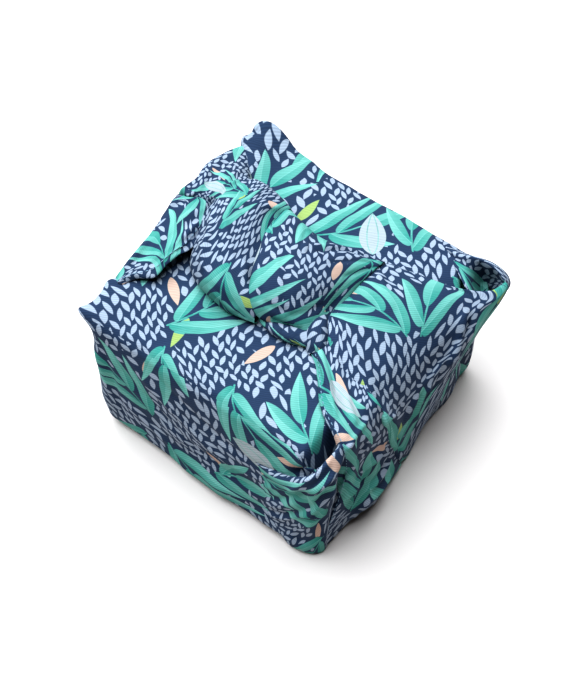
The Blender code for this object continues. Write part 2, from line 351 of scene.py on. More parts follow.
# Each row of a cage is a station across the cloth, and each place in it a point (x, y, z).
# A fold is how wide and how high it is, and the points that it runs through.
rightWing = {
    "name": "rightWing",
    "seed": 3,
    "steps": (104, 76),
    "printStep": 45,
    "printPlace": (300, 40),
    "folds": [
        (1.89, -3.51, [(79.7, -25.5, 82.5), (82.3, -23.4, 65), (80.6, -15.1, 34.9)]),
        (1.37, -1.95, [(79.6, -33.9, 85.1), (82.5, -26.1, 78), (80.1, -12.4, 66.9)]),
        (1.89, 1.95, [(82.4, -23.4, 78), (81.6, -13, 47), (82.2, -8.4, 21.7)]),
        (2, -3.38, [(68.5, 48.9, 92.6), (71.6, 44.7, 77.7), (72.1, 40.9, 51), (82.5, 12.1, 60.5),
                    (80.3, 6.7, 32.2)]),
        (2.1, 2.34, [(72.9, 50.2, 90.8), (70.9, 53.9, 61.7), (82.1, 31.3, 70), (82.4, 20.6, 53.8),
                     (82.4, 8.5, 42.8)]),
        (1.8, -2.86, [(70.9, 30.3, 88.4), (72.5, 25.5, 61.8), (80, 4.6, 60.3), (80.7, -4.2, 44.7)]),
        (2.2, 2.08, [(71.7, 36.5, 88.9), (72.3, 32.8, 58.1), (81, 8.8, 59.7), (81.2, 0.2, 43.7)]),
        (1.8, -2.99, [(78.1, 49.9, 87.7), (82.9, 42.2, 77.1), (84.6, 30.9, 64.7)]),
        (1.6, 1.82, [(81, 53.1, 87.5), (84.1, 46, 77.6), (85.2, 38.9, 64.1)]),
        (1.68, -1.35, [(29.8, 44.6, 96), (41.4, 44.9, 97.1), (53.8, 47.4, 95.2)]),
        (1.68, -1.2, [(30, 38.5, 97), (41.7, 30.2, 98.2), (51.3, 23.7, 95.6)]),
        (2.1, 1.2, [(30.3, 41.8, 96.4), (41, 38.8, 95.8), (50.7, 39.3, 89.6)]),
        (2.31, -1.2, [(44.9, -11.1, 97.5), (57.4, -13.3, 95.4), (70.9, -15.9, 86.7)]),
    ],
    "cage": [
        [(22.2, -8.5, 93), (22.9, -7.7, 94.5), (22.5, -2.8, 96), (22.9, 3.8, 96.5), (23.5, 13.8, 97),
         (24.2, 24.5, 97), (24.7, 35.8, 96.5), (25.6, 43.9, 96), (25.1, 45.5, 94.7), (24.7, 47.2, 92.8)],
        [(31.9, -13.5, 93), (32.7, -12.7, 95.5), (32.3, -7.9, 98), (32.3, 0.1, 98.2), (32.4, 13.2, 98.5),
         (32.7, 27.4, 98), (32.6, 40.5, 96.8), (32.6, 48.1, 95.3), (32.3, 49.5, 94.3), (32, 51, 92.8)],
        [(43, -20.4, 93), (43.7, -19.6, 95.3), (43.8, -14.6, 98), (43.8, -5.8, 97.2), (44.1, 11.8, 97),
         (45.5, 28.1, 96.8), (46.2, 43.9, 96), (47, 51.3, 94.8), (46.9, 52.5, 94), (46.8, 53.7, 92.6)],
        [(55.7, -25.3, 91.9), (56.3, -24.4, 93.8), (57.2, -19.7, 95.8), (57.4, -10.2, 93.8),
         (57.7, 9.1, 93), (59.5, 25.8, 93.5), (59.8, 46.8, 94.2), (61, 54.8, 94), (61, 55.8, 93.5),
         (61, 56.9, 92.3)],
        [(66.6, -28.1, 88.8), (67.1, -27, 90.7), (67.9, -21.9, 92), (67.5, -11.4, 89), (67.7, 6.3, 87.8),
         (68.9, 24.8, 88.7), (70.2, 48.8, 91.7), (72.2, 57.5, 92.4), (70.4, 58.9, 93.5), (70.1, 59.1, 90)],
        [(75.7, -30, 81.6), (76.1, -29, 83.8), (76.6, -23.8, 84.5), (74.8, -13.4, 80.5), (74.6, 4.9, 79.1),
         (76, 23.2, 80.9), (78.1, 51.5, 88), (81.3, 61.2, 91.4), (78.4, 63.4, 93.1), (77.9, 63.8, 87.5)],
        [(77.5, -23.3, 66.2), (79.2, -24.6, 71.5), (81.3, -22.8, 76.7), (79.1, -9.6, 68.7),
         (79.3, 9.9, 68.3), (80.2, 29.7, 72.5), (83.9, 54.4, 86.3), (88.2, 65.4, 91.6), (84.6, 68.2, 93.7),
         (84, 68.6, 86.7)],
        [(77.9, -18.2, 48.8), (79.8, -19.5, 55.3), (82.7, -16.8, 61.5), (80.4, -2.7, 52.8),
         (83.3, 22.2, 63.7), (86.4, 44.7, 74.6), (88.5, 63.1, 84.7), (90.8, 73.9, 93.3), (87.9, 76.1, 95),
         (87.4, 76.5, 89.4)],
        [(78.2, -14.3, 29.8), (79.6, -14.8, 35), (82.6, -13.1, 42.7), (80.1, -0.3, 33.4),
         (82.2, 23.5, 46.5), (84.2, 44.2, 59.1), (86, 61.3, 71.4), (87.7, 70.6, 79.2), (84.8, 72.8, 80.9),
         (84.3, 73.2, 75.3)],
        [(78, -8.7, 11.6), (79.8, -9.8, 17.9), (82.5, -8.4, 25.1), (80, 3.7, 15.7), (81.3, 22.6, 32),
         (82.5, 39.3, 46.3), (83.9, 53.1, 59.9), (84, 61.2, 68.3), (82, 61.5, 68.3), (80, 61.7, 68.3)],
        [(77, -5.4, 0.8), (78.6, -4.9, 2.6), (81, -4, 8.4), (78.6, 8.1, 0.9), (79.6, 21.6, 17.9),
         (80.4, 33.4, 33.5), (81.9, 43.2, 48.2), (81.5, 48.9, 56.2), (79.5, 49.1, 56.2),
         (77.5, 49.4, 56.2)],
        [(73, -5, 1), (75, -4.5, 3), (77.5, -1, 4), (76, 5, 4), (75.6, 18, 4), (75.6, 34, 4), (76.5, 50, 4),
         (79, 54, 23.8), (77, 54.2, 23.8), (75, 54.5, 23.8)],
        [(71, -4, 0.3), (72, -3, 0.3), (73, 0, 0.3), (73, 6, 0.3), (73, 18, 0.3), (73, 34, 0.3),
         (73, 48, 0.3), (73, 52, 0.3), (72, 52, 0.3), (71, 52, 0.3)],
    ],
}

frontGusset = {
    "name": "frontGusset",
    "seed": 5,
    "steps": (112, 50),
    "printStep": 45,
    "printPlace": (120, 260),
    "hems": (1.25,),
    "folds": [
        (1.3, -1.74, [(35.3, -22.4, 95.9), (44.1, -30.7, 97.3), (56.3, -39.9, 97.3), (68.1, -50.7, 95.9)]),
        (1.3, 1.3, [(38.7, -20.8, 96.9), (47.3, -28, 95.5), (59.2, -37.1, 95.4)]),
        (1.5, -1.45, [(42.3, -17.9, 95.9), (54.3, -27, 95.6), (67.4, -36, 94.1)]),
        (1.6, -1.3, [(51.1, -26.1, 95.5), (64.4, -36.2, 95.3), (76.6, -45.2, 92.5)]),
        (1.9, -2.39, [(82.6, -58.9, 51.9), (81.4, -40.9, 49.2), (80.7, -24.1, 57.5)]),
        (1.71, 1.95, [(82.5, -60.5, 44.5), (81.7, -39.1, 37), (80.9, -20.5, 43.3)]),
        (1.9, -2.61, [(81.2, -59.4, 29), (84.2, -40.6, 31.7), (81, -16.3, 27.5)]),
        (1.52, -1.95, [(82.9, -68.7, 87.3), (81.4, -54, 92), (78.1, -35.3, 88.2)]),
        (1.52, 1.74, [(78.9, -58.8, 59.2), (81.4, -47.7, 74.4), (80.6, -31.6, 80.3)]),
        (1.71, -3, [(80.6, -62, 44.5), (84.3, -51.7, 50), (83.5, -36.1, 51.5), (80.8, -22.7, 52)]),
        (1.71, 2.4, [(81.7, -55.5, 28), (83.3, -37.6, 33.3), (80.9, -16.4, 29.7)]),
        (2.09, -2.7, [(80, -50.5, 7.2), (87.2, -42, 23.4), (83.2, -18.1, 15.6)]),
        (1.71, 2.1, [(77.5, -61, 52.4), (81.5, -56.3, 69.9), (82.5, -44.1, 82.5)]),
        (1.52, -2.4, [(77.9, -64, 44.5), (80.1, -59, 59.7), (82.6, -52.1, 78.4)]),
    ],
    "cage": [
        [(27, -20.9, 92.6), (27.6, -20.1, 94), (28.7, -16.2, 96), (30.5, -11.6, 96), (34.8, -8.6, 94.6),
         (43.4, -8.6, 92.8)],
        [(37.5, -27.9, 93), (38.2, -27, 94.5), (39.9, -24.1, 97.2), (42.3, -19.6, 96), (48.2, -17, 94.4),
         (56.9, -16.4, 93)],
        [(45.2, -36.3, 93), (45.8, -35.5, 94.5), (47.8, -32.1, 96.8), (51.2, -27.1, 95),
         (57.6, -24.4, 93.8), (68.3, -23.3, 92.8)],
        [(53.1, -45.1, 92.8), (53.7, -44.2, 94.3), (56.3, -41, 96.5), (59.8, -35.2, 94.6),
         (66, -30.2, 93.4), (73, -25, 92)],
        [(61.5, -51.8, 92.3), (62.1, -50.9, 94), (64.8, -47.2, 96.2), (68.3, -40.8, 94.3),
         (73, -34.5, 92.4), (78, -26, 89)],
        [(69.4, -55.9, 91.5), (69.9, -54.9, 93.4), (72.5, -51.5, 95.4), (76.5, -44.5, 92.6),
         (79.5, -37, 87), (80, -24, 79)],
        [(74.5, -58.6, 88), (75.5, -57.6, 92.2), (79.3, -54.8, 93.4), (82, -45, 85.5), (82, -34.5, 76.5),
         (80.5, -18, 62)],
        [(76, -60.5, 82), (79.6, -59.8, 87), (83, -56.5, 86.5), (82, -46, 76), (81.6, -33.5, 64.5),
         (80, -12, 45)],
        [(75.5, -59, 64), (79.2, -58, 69.5), (83.6, -55, 70.5), (80.6, -44, 60.5), (82, -31, 51.5),
         (79.5, -7, 28)],
        [(75, -60, 47), (78.6, -59.8, 52), (83.4, -56.6, 54), (80.2, -44, 45.5), (82.8, -31, 38.5),
         (79.5, -5, 15)],
        [(75, -64, 32), (78.2, -65.8, 35), (81.6, -61.8, 37.5), (81.3, -47, 32.5), (85, -34, 29),
         (80.5, -4.5, 8)],
        [(74.5, -67.5, 19), (77.6, -70.2, 21), (79.8, -64.8, 23), (82, -50.5, 21), (86.5, -38, 19.5),
         (81, -5, 5)],
        [(73, -69.5, 6), (77.2, -73.6, 8), (78.6, -66.8, 9), (80.8, -48, 9.5), (84.8, -34, 9), (79, -8, 3)],
        [(72, -68.5, 0.6), (76.2, -72.2, 1.6), (77, -64.6, 1.6), (78.4, -45, 1.5), (81.5, -30, 1.5),
         (76, -8, 1)],
        [(70, -66, 0.3), (72, -67, 0.3), (74, -60, 0.3), (74, -42, 0.3), (75, -28, 0.3), (72, -8, 0.3)],
    ],
}

rightEar = {
    "name": "rightEar",
    "seed": 6,
    "steps": (54, 54),
    "printPlace": (372, 268),
    "folds": [
        (1.3, -0.9, [(68, 79.2, 94.4), (71.5, 81.2, 86.5), (74, 82.8, 75.8)]),
        (1.3, -0.8, [(75.4, 80.2, 94.1), (78.5, 81.1, 87.7), (80.8, 80.4, 82.1)]),
    ],
    "cage": [
        [(50, 85, 66), (53, 84.8, 84), (42.5, 80.3, 91), (48.7, 77.1, 90.8), (56.5, 72.4, 90.8),
         (64.6, 67.2, 90.8), (71.7, 62.6, 90.5)],
        [(61, 86.5, 66), (65, 87, 86), (55.4, 78.6, 93.4), (59.8, 75.1, 92.4), (64.8, 71.6, 91),
         (70.1, 67.7, 89.2), (75.1, 65.4, 85.6)],
        [(70, 87, 66), (75, 88.5, 86), (65.8, 80.4, 96), (67.2, 78.3, 92), (68.5, 78.1, 84.7),
         (70.3, 77.4, 77.6), (74, 76.3, 71)],
        [(77, 86, 66), (82.9, 87.5, 85.7), (73.4, 81.2, 96.2), (72.6, 80.5, 90.1), (71.9, 81.6, 80.9),
         (72.3, 82.2, 72.4), (75.7, 80.8, 66.6)],
        [(81, 82, 66), (87, 84, 85.5), (81.2, 79.3, 96), (79.3, 80.1, 90.4), (76.9, 81.9, 80.9),
         (75.9, 82.7, 72.9), (77.9, 82.3, 67.6)],
        [(82, 77, 68), (87.9, 79, 86.5), (86.9, 76.5, 95.2), (85.7, 77.4, 92.1), (83.1, 78.6, 85.9),
         (81.9, 79.6, 79.3), (82.4, 80.3, 75.4)],
        [(82, 73, 70), (86.2, 75, 86.6), (89.7, 74.5, 94.3), (89.5, 75.1, 93.2), (88.2, 75.5, 89.9),
         (87.2, 76.3, 86.6), (87, 76.9, 83.8)],
    ],
}

frontCorner = {
    "name": "frontCorner",
    "seed": 9,
    "steps": (90, 80),
    "printPlace": (500, 60),
    "folds": [
        (4.2, 2.2, [(64.3, -81.9, 11.6), (71.1, -79.2, 15.3), (77.6, -76.4, 21.9)]),
        (2, -2.4, [(55.7, -83.1, 24.8), (70.5, -83.5, 43.8), (78.6, -79.2, 47.2)]),
        (1.56, -1.87, [(23.3, -81.5, 11.2), (55.8, -82.4, 38), (79.1, -82.3, 75.8), (83.5, -71.9, 86.4)]),
        (1.68, 1.53, [(30.4, -81.2, 9.2), (57.7, -80.9, 31.5), (77.4, -78.1, 62.5), (84.3, -72.6, 83.4)]),
        (1.56, -1.87, [(44.9, -79.6, 16.1), (63.7, -82.8, 35.3), (79.3, -78.8, 58.4), (82.2, -71.5, 71)]),
        (1.56, 1.36, [(26.3, -80.6, 22.9), (56, -80.8, 45.5), (76.8, -80.6, 80.3), (81.3, -70, 89.3)]),
        (1.56, -1.7, [(61.6, -85, 29.7), (70.6, -81.8, 31.5), (79.5, -79.4, 45.6), (82.9, -73.5, 62.4)]),
        (1.56, -1.7, [(29.4, -78.6, 31.8), (59.3, -82.3, 60.1), (75.1, -79.8, 84.6), (78.5, -68.1, 91.9)]),
        (1.56, 1.36, [(63.9, -81, 18.7), (70.6, -79.3, 20), (76.6, -77, 31.5), (82.9, -76.6, 53.8)]),
        (2.6, -5.2, [(83.9, -70.1, 84.6), (82.5, -72.2, 70.4), (82.4, -76.5, 57.7), (79.9, -78.5, 41.1)]),
    ],
    "cage": [
        [(30, -76, 56), (36, -76, 60), (50, -76, 64.5), (61, -76, 63.5), (69.9, -75, 65), (74.1, -68.5, 72),
         (74.9, -62.5, 76), (75.7, -58, 80.5)],
        [(30, -74.1, 55), (36, -78.2, 59.5), (50, -78.8, 64.5), (61.3, -78.8, 71.5), (71.9, -78, 81),
         (76.1, -70.5, 89.3), (76.7, -63.5, 91), (76.7, -58.5, 91)],
        [(30, -74.3, 53), (36, -77.7, 57.5), (50, -81.1, 63), (62, -81.9, 71), (73.7, -81.2, 81.3),
         (79.1, -72.5, 89.8), (79.7, -64.8, 91.2), (79, -59, 91)],
        [(30, -74.3, 50), (36, -77.7, 54), (50, -81.1, 59), (63.2, -82.7, 66.8), (77.5, -82.3, 77),
         (83.6, -73.5, 85.3), (82.1, -64.2, 85.6), (79, -57.6, 85.2)],
        [(30, -74.2, 45), (36, -77.4, 48.5), (50, -80.3, 53), (63.2, -80.5, 60), (76, -80.2, 69.5),
         (81, -73, 78.5), (79.7, -64.4, 79), (76.7, -57.7, 79.2)],
        [(30, -74.3, 36), (36, -77.7, 39), (50, -80.8, 42.5), (63.2, -81, 47.5), (75.8, -80.2, 55),
         (80.5, -73, 62.5), (79.1, -63.9, 64), (75.3, -57.2, 65.2)],
        [(30, -74.4, 25), (36, -77.7, 27.5), (50, -80.8, 30), (62.8, -81, 33.5), (75.2, -79.8, 39),
         (79.6, -73, 45), (78.1, -64.4, 46.5), (74.7, -58.4, 47.7)],
        [(30, -74.5, 14), (36, -77.7, 15.5), (50, -80.6, 17), (62.6, -81.5, 19.5), (74.8, -79.5, 23.5),
         (78.8, -73.3, 28), (76.9, -65.9, 30), (74.2, -61.9, 31.7)],
        [(30, -74.3, 5.5), (36, -77.4, 6), (50, -80.2, 6.5), (62.6, -83, 7.5), (73.4, -80, 10),
         (79, -74, 13), (76.7, -67.2, 16.5), (73.9, -64.1, 19.2)],
        [(26, -77, 0.8), (38, -77.6, 0.8), (50, -78, 0.8), (62.6, -81, 0.8), (72.6, -78.6, 1),
         (78, -73, 1.8), (77, -67.8, 4.5), (75, -65, 7)],
        [(26, -74, 0.4), (38, -74.5, 0.4), (50, -75, 0.4), (62, -75.5, 0.4), (71.5, -74.5, 0.4),
         (74.5, -70, 0.4), (74, -66, 0.4), (73, -63, 0.4)],
    ],
}

leftWing = {
    "name": "leftWing",
    "seed": 7,
    "steps": (100, 72),
    "printTurn": 30,
    "printPlace": (-220, 90),
    "hems": (2.4,),
    "folds": [
        (1.7, -1.7, [(-82.3, -41.8, 94.8), (-81.4, -21.9, 101.1), (-75.1, -2.5, 106.4),
                     (-66.1, 15.1, 107.7)]),
        (2, 1, [(-81.5, -41, 95.4), (-74.4, -21.7, 100.6), (-68.4, -3.2, 105.1), (-62.6, 11.8, 111)]),
        (1.4, -1.5, [(-72.6, -34, 98.7), (-67.1, -17.3, 104.6), (-65.4, -1.2, 105.7),
                     (-61.6, 10.2, 111.7)]),
        (1.1, -0.9, [(-67.6, -21.1, 103.6), (-63.9, -7.3, 105.7), (-62.4, 6, 108.1)]),
        (1.2, 0.8, [(-62.8, -20, 102.6), (-61.7, -5.2, 101.8), (-56.4, 0.6, 113.4)]),
        (1.6, 0.9, [(-80.8, -22.3, 101), (-85.9, -2, 101.8), (-77.8, 10.3, 106.1), (-72.3, 18.8, 103.7)]),
    ],
    "cage": [
        [(-76.5, -48, 92.4), (-78.8, -49.2, 93.2), (-80, -49.3, 93.7), (-80.3, -49.4, 93.3),
         (-82.3, -48.4, 92.2), (-84.9, -46.5, 90.7), (-82.8, -50, 83.2), (-79, -51, 56)],
        [(-75, -42, 92.4), (-73.7, -42.6, 94.3), (-76.2, -43.1, 96.2), (-77, -43, 95.2), (-80, -41.6, 95.3),
         (-84.9, -40.7, 93.1), (-82.2, -38, 83.2), (-80, -37, 56)],
        [(-73.5, -29.7, 92.8), (-64.9, -36.9, 96.4), (-66.1, -35.2, 99), (-70.2, -31.7, 99.7),
         (-78.9, -29.4, 98.8), (-85, -27.6, 96.6), (-84.8, -20, 85.5), (-80, -20, 56)],
        [(-75.9, -17.4, 92.8), (-63.7, -27.5, 99), (-64.9, -26.6, 101.6), (-67.6, -23.7, 102.2),
         (-79.5, -15, 101.4), (-85.5, -13.2, 99.3), (-86.8, -3, 87.5), (-80, -3, 56)],
        [(-76.1, -7, 93), (-62.2, -19.3, 100.6), (-63.5, -18.4, 103), (-65.9, -15.7, 103.7),
         (-79.4, -3, 103.2), (-87.1, -1.6, 100.9), (-87.5, 6, 88.5), (-80, 6, 56)],
        [(-74.7, 0.2, 94), (-59.7, -12.2, 100.6), (-61.2, -11.8, 103.4), (-65.1, -9.7, 105.4),
         (-79.9, 5.4, 106.2), (-87.2, 4.8, 104.2), (-89.4, 11, 91.6), (-80, 11, 56)],
        [(-58.6, 4, 96), (-60, 4.6, 99.4), (-64.4, 8.6, 102), (-70, 13.6, 105.6), (-78.4, 12.8, 106.6),
         (-87.3, 7.7, 104.4), (-90, 13, 93), (-80, 13, 56)],
        [(-67.6, 20, 98), (-68.2, 20.3, 100.4), (-70.4, 20.2, 101.8), (-73.6, 19.7, 102.8),
         (-81.1, 17.3, 102.5), (-90.3, 13.4, 100.5), (-88, 15, 92), (-79, 15, 56)],
    ],
}

# The left wing's upper fold runs on into the knot's left half.
leftLobe = {
    "name": "leftLobe",
    "seed": 11,
    "steps": (140, 92),
    "printTurn": 45,
    "printPlace": (60, -240),
    "folds": [
        (2, -3.2, [(-85.3, 9, 105.7), (-83.4, 13.4, 105.3), (-79, 17.1, 106)]),
        (4.5, -5.5, [(-23.9, -6.5, 113.5), (-15.8, -16.8, 113.2), (-9.2, -22.1, 107.8),
                     (-0.5, -24.9, 100.9)]),
        (1.5, -1.4, [(-67.1, 18.9, 107.1), (-68.4, 27, 111), (-70.9, 39.5, 108.1), (-72.4, 51.5, 100.8)]),
        (2.4, 1.3, [(-72.9, 19.2, 106.3), (-77.2, 28, 107.3), (-81.6, 42.2, 104), (-82.3, 56, 99.8)]),
        (1.5, -1.3, [(-78, 18.1, 106.4), (-80.5, 24.8, 108.8), (-84.2, 35.5, 106.4)]),
        (1.7, -2.4, [(-61.7, 40.5, 109.2), (-63.5, 36.9, 109.9), (-65.6, 28.9, 110.8)]),
        (1.8, -1.7, [(-62.6, 12.5, 110.9), (-54.5, -1.4, 114.4), (-48.8, -13.3, 113.3),
                     (-44.4, -21.5, 110.5)]),
        (2.8, 1.3, [(-61.1, 12.8, 112.3), (-50.1, -2.1, 114.1), (-42.3, -16.2, 112.3),
                    (-34.6, -27.1, 107.9)]),
        (2, -1, [(-58.1, 12.9, 114.2), (-44.2, 1.1, 117), (-33.3, -8.5, 115.9), (-24, -17.8, 113.2)]),
        (1.8, -1, [(-54.9, 14.1, 116), (-44.1, 13, 116.6), (-34.9, 11.1, 114.2), (-28.4, 9.8, 110)]),
        (1.7, -1.1, [(-54, 18.4, 116.1), (-46, 22.3, 116.6), (-38.8, 28.1, 114.5), (-33.3, 34.1, 109.5)]),
        (2, 0.9, [(-59.1, 21, 114.4), (-51.2, 26.1, 114.9), (-43.8, 31.7, 113.5), (-36.2, 35.9, 110.7)]),
        (2.2, -1.1, [(-33.4, -28.6, 104.9), (-23.4, -30.7, 102.7), (-12.3, -29.3, 99.7)]),
        (1.8, -1, [(-25.4, -29.8, 95.7), (-13.9, -30.3, 92.2), (-6, -28.4, 92.2)]),
        (2, -1.2, [(-28, -7.1, 113.9), (-18.2, -17.1, 113.5), (-11, -24, 107.3)]),
        (1.6, -1.5, [(-54.6, -8.4, 109.6), (-47.6, -19.1, 112.1), (-40.1, -23.9, 108.2)]),
    ],
    "cage": [
        [(-79, 10, 52), (-80, 14, 52), (-80, 20, 52), (-80, 30, 52), (-80, 42, 52), (-80, 54, 52),
         (-79.5, 64, 52), (-79, 68, 52)],
        [(-86, 10, 82), (-88.5, 13, 83), (-89.5, 20, 83), (-89.5, 32, 83), (-89.5, 44, 83), (-88.5, 56, 83),
         (-86, 68, 82), (-83, 72, 81)],
        [(-87, 13, 99), (-88.6, 14.4, 105), (-87.7, 18.7, 106), (-87.5, 27, 104.5), (-91.2, 40.2, 102),
         (-90.8, 55.6, 98), (-86.8, 71.6, 93.5), (-84.8, 73.6, 90.5)],
        [(-77.8, 14.7, 101.5), (-78.8, 16.7, 105.5), (-78.3, 21.4, 107.5), (-79.1, 29.4, 108),
         (-79.6, 39.7, 106), (-79.3, 51.6, 101.5), (-77.7, 61.1, 96), (-75.7, 63.1, 92.5)],
        [(-67.8, 17.3, 100), (-68.8, 19.3, 105), (-66.9, 21.5, 108.5), (-65.8, 26.5, 110.5),
         (-64.9, 32.4, 110), (-65, 39.4, 107), (-65.4, 45.9, 102.5), (-63.4, 47.9, 95.5)],
        [(-66.9, 12.2, 96.5), (-68.9, 11.2, 101.5), (-64.7, 13.5, 109.2), (-61.7, 19.8, 112.9),
         (-59.3, 28.2, 113.5), (-58, 37.2, 112), (-57, 43.7, 108.5), (-55.5, 46.7, 99.5)],
        [(-59.1, 2.6, 94), (-63.6, -2.4, 98.5), (-56.7, -0.6, 111.8), (-54.5, 10.8, 115.7),
         (-52, 22.8, 116), (-50.4, 34.7, 114.5), (-49.7, 43.5, 109.5), (-48.2, 46.5, 99.5)],
        [(-51.4, -11.1, 93), (-55.9, -17.1, 97), (-49, -13.7, 111.6), (-46.8, 0.5, 116), (-45.8, 16.7, 116),
         (-44.6, 30.9, 114.5), (-42.4, 42.2, 109), (-40.9, 45.2, 99)],
        [(-40.4, -19.2, 92.5), (-43.9, -25.7, 96.5), (-37.1, -24.2, 110.4), (-36, -9.6, 115.1),
         (-37.9, 10.1, 114.5), (-38.5, 27.6, 113.5), (-34.5, 40.1, 108), (-33, 43.1, 99)],
        [(-26.4, -23.1, 92.5), (-28.9, -29.6, 96.5), (-24.7, -27.5, 109.5), (-25.6, -14.3, 113.1),
         (-30.6, 6, 112), (-34.6, 25.1, 111), (-30.9, 39, 106.5), (-29.4, 42, 98.5)],
        [(-13.4, -26.6, 93), (-13.4, -30.1, 97), (-12.5, -25.8, 104.8), (-16, -14.4, 107.6),
         (-23.2, 5.2, 108), (-29.5, 24.7, 107.5), (-29.2, 39.4, 104), (-27.7, 42.4, 97)],
        [(-3.2, -24.1, 92.5), (-3.2, -27.6, 95.5), (-5.1, -22.6, 100.2), (-8.7, -11.8, 101.8),
         (-15.5, 7.4, 103), (-23.2, 26.2, 103), (-25.9, 39.7, 101), (-24.4, 41.7, 95)],
    ],
}

rightLobe = {
    "name": "rightLobe",
    "seed": 13,
    "steps": (104, 104),
    "printTurn": 45,
    "printPlace": (200, -260),
    "folds": [
        (0.95, -0.8, [(-27, 35, 109), (-24.9, 26.1, 112), (-21.6, 15.8, 115.2)]),
        (0.95, -0.8, [(-23.7, 34.9, 108.8), (-19, 23.9, 113.2), (-14.6, 12.7, 116.5)]),
        (0.95, -0.8, [(-19, 33.4, 109.1), (-13.3, 22.5, 113.7), (-8.2, 11.7, 117.1)]),
        (0.95, -0.7, [(-12.6, 30.6, 110), (-7.7, 21.2, 113.9), (-3.9, 12.8, 116.8)]),
        (0.95, -0.6, [(-6.8, 28.2, 110.6), (-1.7, 19.7, 114.8), (0.1, 13.6, 115.3)]),
        (1.2, -1.5, [(-2.8, 8.7, 117.2), (3.6, 21.5, 111.9), (10, 35.6, 104.5), (19.2, 40.5, 101.1),
                     (25.9, 43.4, 99.3)]),
        (1.7, 1.1, [(-4.8, 14.9, 116.2), (2, 27.9, 110.7), (10, 38.4, 103.9), (20.4, 43, 100)]),
        (1.3, -1, [(11.4, 18, 111.8), (17.7, 31.4, 104.9), (26.2, 41.9, 99.4)]),
        (1.5, -1.1, [(20.5, 18.6, 106.4), (23.9, 30.2, 101.4), (27.6, 41.1, 98.4)]),
        (2, -0.9, [(-2.7, -21, 109.1), (5, -19.7, 106.9), (12.3, -16.4, 106.4)]),
        (2, -1, [(11.1, -19.3, 103.7), (17.8, -10.6, 104.2), (22.6, 0.7, 102.9)]),
        (1.4, -1, [(4.2, -23.2, 101.2), (13.1, -19.2, 98.1), (20.8, -16.2, 97.6)]),
        (1.8, -0.9, [(-17.1, -0.7, 115.9), (-7.3, -13.1, 114.5), (-2.9, -22.5, 108.1)]),
        (2.2, 0.9, [(-18.6, 10.8, 116.2), (-4.3, -5.3, 117.7), (5.9, -16.4, 111.1)]),
    ],
    "cage": [
        [(-27.3, 34.9, 94), (-29.3, 35.9, 103), (-25.1, 19.8, 106), (-21.7, 4.9, 106), (-16.4, -7.9, 104),
         (-10.4, -17.4, 101), (-4.5, -20.8, 97), (-3.5, -17.8, 93)],
        [(-31.5, 38, 99), (-32, 35, 107), (-28.9, 17.8, 112), (-23.2, 1.9, 113), (-16.6, -12.5, 111),
         (-11.3, -22, 106), (-4.8, -24.6, 99), (-3.8, -21.1, 94)],
        [(-28.8, 39.9, 99), (-29.3, 36.9, 108), (-22.4, 18.3, 114.5), (-15.8, 2.2, 116.5), (-8.7, -13, 115),
         (-3.8, -22.1, 108.5), (0.2, -25, 99), (0.7, -21.5, 94)],
        [(-17.4, 37.4, 98), (-18.4, 34.4, 108), (-11, 20.3, 115), (-3.9, 6.7, 117.5), (3.5, -7.2, 116),
         (8.1, -17.7, 109), (9.6, -21.5, 98.5), (9.6, -18, 93.5)],
        [(-5.4, 35.9, 97), (-6.4, 32.9, 107), (-0.1, 21.9, 113), (6.4, 10.6, 115.5), (12.1, -1.3, 114),
         (15.9, -11.5, 107), (17.2, -18.5, 98), (16.7, -15, 93.5)],
        [(7.1, 38.7, 96.5), (6.1, 36.2, 104.5), (10.4, 28.4, 108.5), (15.3, 18.2, 110.5), (19.3, 6.6, 109),
         (21.8, -4.5, 103.5), (23.4, -15.4, 97), (22.4, -12.4, 93)],
        [(17.3, 43.8, 96), (16.8, 41.8, 101), (20, 35.5, 103.5), (21.9, 27.4, 104.5), (23.8, 15.8, 103),
         (24.9, 2.9, 99), (27.4, -11.9, 96.5), (25.4, -9.9, 93.5)],
        [(28.4, 47.2, 95), (27.9, 46.2, 98), (28, 42.3, 98.5), (27.7, 33.4, 98.5), (27.3, 21.3, 97.5),
         (27.6, 7.3, 96.5), (28.7, -7.5, 95.5), (26.7, -6.5, 93.5)],
        [(25, 47.5, 93), (27, 47.5, 96), (26.7, 44.3, 95.5), (25.5, 35.7, 94.5), (24.9, 22.8, 94),
         (25.6, 8.3, 93.8), (26.2, -6.8, 93.5), (23.2, -5.8, 91.5)],
    ],
}

knotStrip = {
    "name": "knotStrip",
    "seed": 19,
    "steps": (40, 36),
    "printTurn": 30,
    "printPlace": (20, 420),
    "folds": [
        (0.9, -0.7, [(26.5, -14.3, 101), (32, -22.4, 96.5)]),
        (0.9, -0.7, [(29.3, -12, 100.9), (35.5, -20.9, 96.9)]),
    ],
    "cage": [
        [(16.6, -8.2, 93.5), (18.3, -8.6, 97), (20.3, -6, 99.5), (22.9, -3.3, 99.5), (25.5, -1.5, 98),
         (26.6, -0.3, 94)],
        [(20.1, -13.6, 93.2), (22, -14.4, 97.5), (25.4, -12.7, 101), (28.3, -10.5, 101), (30.9, -8.7, 98.5),
         (31.4, -6.6, 94)],
        [(23.5, -19, 93), (25.6, -19.5, 97), (28.6, -17.9, 100.5), (31.9, -16.1, 100.3), (34.7, -14.2, 98),
         (35.2, -12.7, 94)],
        [(27.8, -22.9, 92.8), (29.6, -22.6, 95.8), (32.5, -21.3, 98.6), (35.2, -19.7, 98.2),
         (37, -18.2, 96.2), (37.3, -17.2, 93.5)],
        [(31.2, -24.8, 92.4), (32, -24.1, 94), (34.4, -22.9, 95.6), (36.3, -22, 95.3), (37.5, -20.9, 94.2),
         (37.8, -20.4, 93)],
    ],
}

